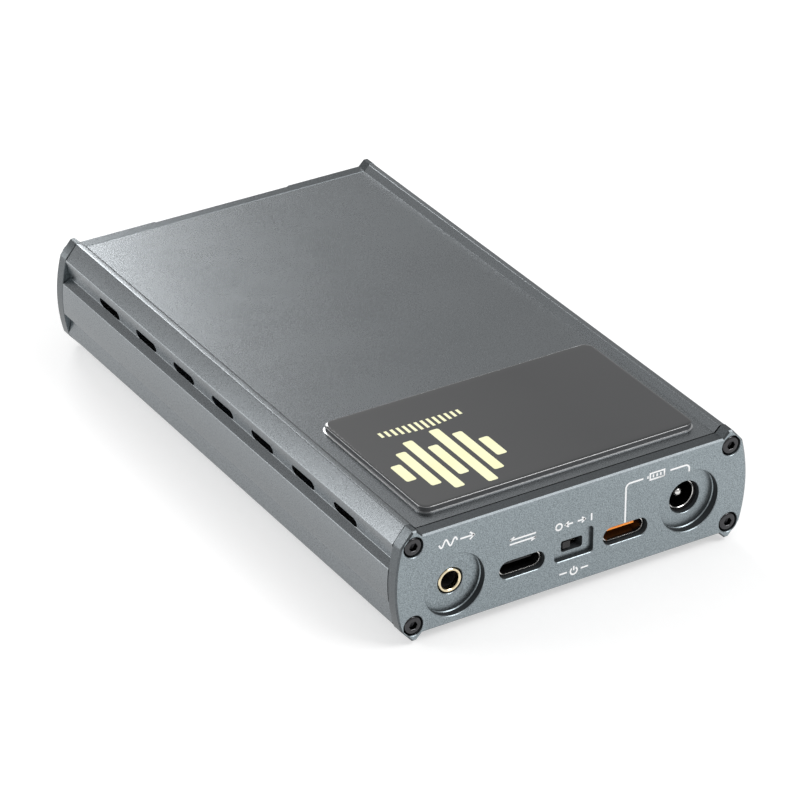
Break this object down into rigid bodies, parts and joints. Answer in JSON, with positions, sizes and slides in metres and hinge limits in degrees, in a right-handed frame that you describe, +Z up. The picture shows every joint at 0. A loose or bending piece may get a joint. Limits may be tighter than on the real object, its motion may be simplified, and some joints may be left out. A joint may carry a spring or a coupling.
{
  "type": "desktop dac",
  "caption": "Flat battery DAC and headphone amplifier in a grooved aluminium extrusion, with sockets and a slide switch at the rear and a volume knob in front.",
  "frame": {"origin": "centre of the footprint, on the plane that the rubber feet stand on", "axes": "+Z up; +Y along the case towards the connector panel, so the volume knob and headphone sockets face -Y; +X to the right seen from the knob end"},
  "size_m": [0.0754, 0.1368, 0.0236],
  "materials": {
    "case": "fine bead-blasted grey anodising",
    "panel": "fine bead-blasted grey anodising",
    "window": "dark glossy glass",
    "knob": "dark anodised, satin",
    "screw": "black oxide",
    "steel": "plated sheet steel",
    "gold": "gold-plated",
    "black_plastic": "black moulding",
    "orange_plastic": "orange moulding",
    "chip": "matt black",
    "board": "green solder mask",
    "ribbon": "amber film",
    "light_pipe": "clear moulding",
    "plug": "natural nylon",
    "battery": "blue shrink film",
    "lead": "red insulation",
    "rubber": "black rubber"
  },
  "bodies": {
    "case": {"body_shell": "case", "rear_panel": "panel", "front_panel": "panel", "glass_window": "window", "window_tape": "rubber", "display_module": "chip", "display_ribbon": "ribbon", "rear_screw_1": "screw", "rear_screw_2": "screw", "rear_screw_3": "screw", "rear_screw_4": "screw", "front_screw_1": "screw", "front_screw_2": "screw", "front_screw_3": "screw", "front_screw_4": "screw", "data_port_shell": "steel", "data_port_tongue": "black_plastic", "charge_port_shell": "steel", "charge_port_tongue": "orange_plastic", "dc_jack_body": "black_plastic", "dc_jack_sleeve": "steel", "dc_jack_pin": "steel", "aux_jack_body": "black_plastic", "aux_jack_ring": "gold", "power_switch_frame": "steel", "phones_jack_body": "black_plastic", "phones_jack_ring": "panel", "line_jack_body": "black_plastic", "line_jack_ring": "gold", "volume_pot": "steel", "mode_switch": "black_plastic", "gain_switch": "black_plastic", "light_pipe": "light_pipe", "status_light": "plug", "main_board": "board", "shield_can": "steel", "dac_chip": "chip", "receiver_chip": "chip", "opamp_left": "chip", "opamp_right": "chip", "output_capacitor_left": "steel", "output_capacitor_right": "steel", "charger_coil": "chip", "battery_pack": "battery", "battery_foam": "rubber", "battery_lead": "lead", "battery_plug": "plug", "foot_1": "rubber", "foot_2": "rubber", "foot_3": "rubber", "foot_4": "rubber"},
    "volume_control": {"volume_knob": "knob", "volume_shaft": "steel", "knob_grub_screw": "screw"},
    "power_switch": {"power_slider": "black_plastic"},
    "mode_key": {"mode_button": "panel"},
    "gain_key": {"gain_button": "panel"}
  },
  "joints": [
    {"name": "volume_turn", "type": "hinge", "parent": "case", "child": "volume_control", "pos_m": [0.0245, -0.0616, 0.0122], "axis": [0, 1, 0], "range_deg": [-150, 150]},
    {"name": "power_slide", "type": "slide", "parent": "case", "child": "power_switch", "axis": [-1, 0, 0], "range_m": [0, 0.002]},
    {"name": "mode_press", "type": "slide", "parent": "case", "child": "mode_key", "axis": [0, 1, 0], "range_m": [0, 0.0005], "stiffness_N_per_m": 500, "springref_m": -0.0005},
    {"name": "gain_press", "type": "slide", "parent": "case", "child": "gain_key", "axis": [0, 1, 0], "range_m": [0, 0.0005], "stiffness_N_per_m": 500, "springref_m": -0.0005}
  ]
}
